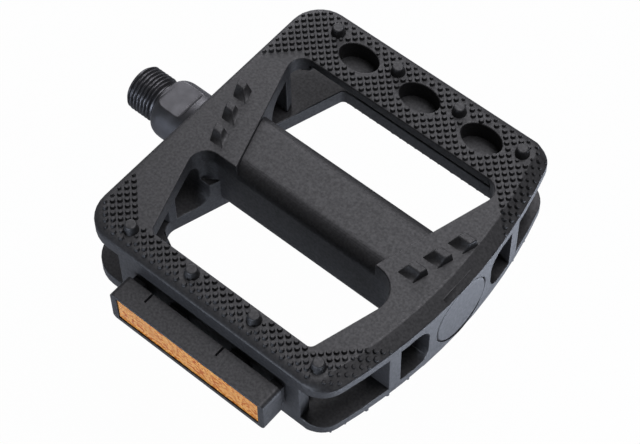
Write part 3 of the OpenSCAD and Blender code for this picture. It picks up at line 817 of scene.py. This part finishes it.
class PEDAL_OT_stage(bpy.types.Operator):
    """Pale floor, soft lamps and the camera"""

    bl_idname = "pedal.stage"
    bl_label = "Stage"

    # Shares of plain white that the camera and the gloss of the pieces see in the floor and all round
    white_to_camera = 0.98
    floor_to_gloss = 0.05
    world_to_gloss = 0.05
    white = (1, 1, 1, 1)
    paper_colour = (0.45, 0.47, 0.50, 1)
    sky_colour = (0.97, 0.98, 1, 1)
    cool = (0.78, 0.85, 1.0)
    daylight = (0.95, 0.94, 1.0)
    # Places of the lamps and the points that they face
    middle = mm(60, 0, 0)
    key_place = mm(0, 355, 775)
    side_place = mm(260, 150, 800)
    end_place = mm(190, 20, -66)
    end_aim = mm(108, 0, 0)
    front_place = mm(70, -480, 0)
    front_aim = mm(60, -60, 0)
    back_place = mm(-330, 380, 230)
    back_aim = mm(25, 35, 0)
    # Width of the floor and the near end of the view in metres, and the sensor in millimetres
    floor_size = 6.0
    near_clip = 0.01
    sensor_width = 36

    def white_share(self, tree, to_camera, to_gloss):
        """A share of plain white for rays from the camera, and another for gloss and clear parts."""
        path = tree.nodes.new("ShaderNodeLightPath")
        total = None
        for name, share in (("Is Camera Ray", to_camera), ("Is Glossy Ray", to_gloss),
                            ("Is Transmission Ray", to_gloss)):
            scaled = tree.nodes.new("ShaderNodeMath")
            scaled.operation = "MULTIPLY"
            scaled.inputs[1].default_value = share
            tree.links.new(path.outputs[name], scaled.inputs[0])
            if total is None:
                total = scaled.outputs["Value"]
                continue
            larger = tree.nodes.new("ShaderNodeMath")
            larger.operation = "MAXIMUM"
            tree.links.new(total, larger.inputs[0])
            tree.links.new(scaled.outputs["Value"], larger.inputs[1])
            total = larger.outputs["Value"]
        return total

    def floor(self, drop):
        """A wide pale floor that keeps a faint shadow."""
        half = self.floor_size / 2
        mesh = bpy.data.meshes.new("floor")
        corners = [(-half, -half, -drop), (half, -half, -drop), (half, half, -drop), (-half, half, -drop)]
        mesh.from_pydata(corners, [], [(0, 1, 2, 3)])
        floor = new_piece("floor", mesh)
        paper = bpy.data.materials.new("white paper")
        paper.use_nodes = True
        tree = paper.node_tree
        tree.nodes.remove(tree.nodes["Principled BSDF"])
        matt = tree.nodes.new("ShaderNodeBsdfDiffuse")
        matt.inputs["Color"].default_value = self.paper_colour
        white = tree.nodes.new("ShaderNodeEmission")
        white.inputs["Color"].default_value = self.white
        both = tree.nodes.new("ShaderNodeMixShader")
        share = self.white_share(tree, self.white_to_camera, self.floor_to_gloss)
        tree.links.new(share, both.inputs["Fac"])
        tree.links.new(matt.outputs["BSDF"], both.inputs[1])
        tree.links.new(white.outputs["Emission"], both.inputs[2])
        tree.links.new(both.outputs["Shader"], tree.nodes["Material Output"].inputs["Surface"])
        mesh.materials.append(paper)

    def surroundings(self, strength):
        """Even light all round, seen as white by the camera."""
        world = bpy.data.worlds.new("studio")
        world.use_nodes = True
        tree = world.node_tree
        even = tree.nodes["Background"]
        even.inputs["Color"].default_value = self.sky_colour
        even.inputs["Strength"].default_value = strength
        white = tree.nodes.new("ShaderNodeBackground")
        white.inputs["Color"].default_value = self.white
        both = tree.nodes.new("ShaderNodeMixShader")
        share = self.white_share(tree, to_camera=1, to_gloss=self.world_to_gloss)
        tree.links.new(share, both.inputs["Fac"])
        tree.links.new(even.outputs["Background"], both.inputs[1])
        tree.links.new(white.outputs["Background"], both.inputs[2])
        tree.links.new(both.outputs["Shader"], tree.nodes["World Output"].inputs["Surface"])
        bpy.context.scene.world = world

    def lamp(self, name, power, size, place, aim, colour):
        """A soft lamp of a width and a height, turned to a point."""
        light = bpy.data.lights.new(name, "AREA")
        light.shape = "RECTANGLE"
        light.color = colour
        light.energy = power
        light.size, light.size_y = size
        holder = bpy.data.objects.new(name, light)
        holder.location = place
        holder.rotation_euler = (aim - place).to_track_quat("-Z", "Y").to_euler()
        bpy.context.scene.collection.objects.link(holder)

    def camera(self, stage):
        """The camera at the photograph's angle."""
        turn, tilt, roll = stage.azimuth, stage.elevation, stage.roll
        back = Vector((math.sin(turn) * math.cos(tilt), -math.cos(turn) * math.cos(tilt), math.sin(tilt)))
        level = Vector((math.cos(turn), math.sin(turn), 0))
        upright = back.cross(level)
        right = level * math.cos(roll) + upright * math.sin(roll)
        up = upright * math.cos(roll) - level * math.sin(roll)
        data = bpy.data.cameras.new("camera")
        data.sensor_fit = "HORIZONTAL"
        data.sensor_width = self.sensor_width
        data.lens = stage.lens
        data.clip_start = self.near_clip
        view = bpy.data.objects.new("camera", data)
        place = right * stage.aside + up * stage.raised + back * stage.distance
        view.matrix_world = Matrix.Translation(place) @ Matrix((right, up, back)).transposed().to_4x4()
        bpy.context.scene.collection.objects.link(view)
        bpy.context.scene.camera = view

    def execute(self, context):
        stage = context.scene.pedal_stage
        self.floor(stage.floor_drop)
        self.surroundings(stage.sky)
        key = (stage.key_size, stage.key_size)
        soft = (stage.soft_size, stage.soft_size)
        strip = (stage.low_width, stage.low_height)
        self.lamp("key lamp", stage.key_power, key, self.key_place, self.middle, self.daylight)
        self.lamp("side lamp", stage.side_power, soft, self.side_place, self.middle, self.daylight)
        self.lamp("end lamp", stage.end_power, strip, self.end_place, self.end_aim, self.cool)
        self.lamp("front lamp", stage.front_power, strip, self.front_place, self.front_aim, self.cool)
        self.lamp("back lamp", stage.back_power, soft, self.back_place, self.back_aim, self.daylight)
        self.camera(stage)
        context.scene.view_settings.view_transform = "Standard"
        return {"FINISHED"}


OPERATORS = (
    PEDAL_OT_body, PEDAL_OT_dots, PEDAL_OT_spindle, PEDAL_OT_bearings, PEDAL_OT_reflector, PEDAL_OT_stage)


class PEDAL_PT_pieces(bpy.types.Panel):
    """Buttons for the pieces of the pedal, and its settings"""

    bl_label = "Pedal"
    bl_idname = "PEDAL_PT_pieces"
    bl_space_type = "VIEW_3D"
    bl_region_type = "UI"
    bl_category = "Pedal"

    def draw(self, context):
        for operator in OPERATORS:
            self.layout.operator(operator.bl_idname)
        for group in (context.scene.pedal_form, context.scene.pedal_finish, context.scene.pedal_stage):
            for name in group.__annotations__:
                self.layout.prop(group, name)


CLASSES = (PedalForm, PedalFinish, PedalStage, *OPERATORS, PEDAL_PT_pieces)


def register():
    """Registers the classes and the settings of the scene."""
    for kind in CLASSES:
        bpy.utils.register_class(kind)
    bpy.types.Scene.pedal_form = PointerProperty(type=PedalForm)
    bpy.types.Scene.pedal_finish = PointerProperty(type=PedalFinish)
    bpy.types.Scene.pedal_stage = PointerProperty(type=PedalStage)


def unregister():
    """Removes the settings and the classes."""
    del bpy.types.Scene.pedal_form
    del bpy.types.Scene.pedal_finish
    del bpy.types.Scene.pedal_stage
    for kind in reversed(CLASSES):
        bpy.utils.unregister_class(kind)


def main():
    """Builds every piece and the stage."""
    register()
    bpy.ops.pedal.body()
    bpy.ops.pedal.dots()
    bpy.ops.pedal.spindle()
    bpy.ops.pedal.bearings()
    bpy.ops.pedal.reflector()
    bpy.ops.pedal.stage()


if __name__ == "__main__":
    main()
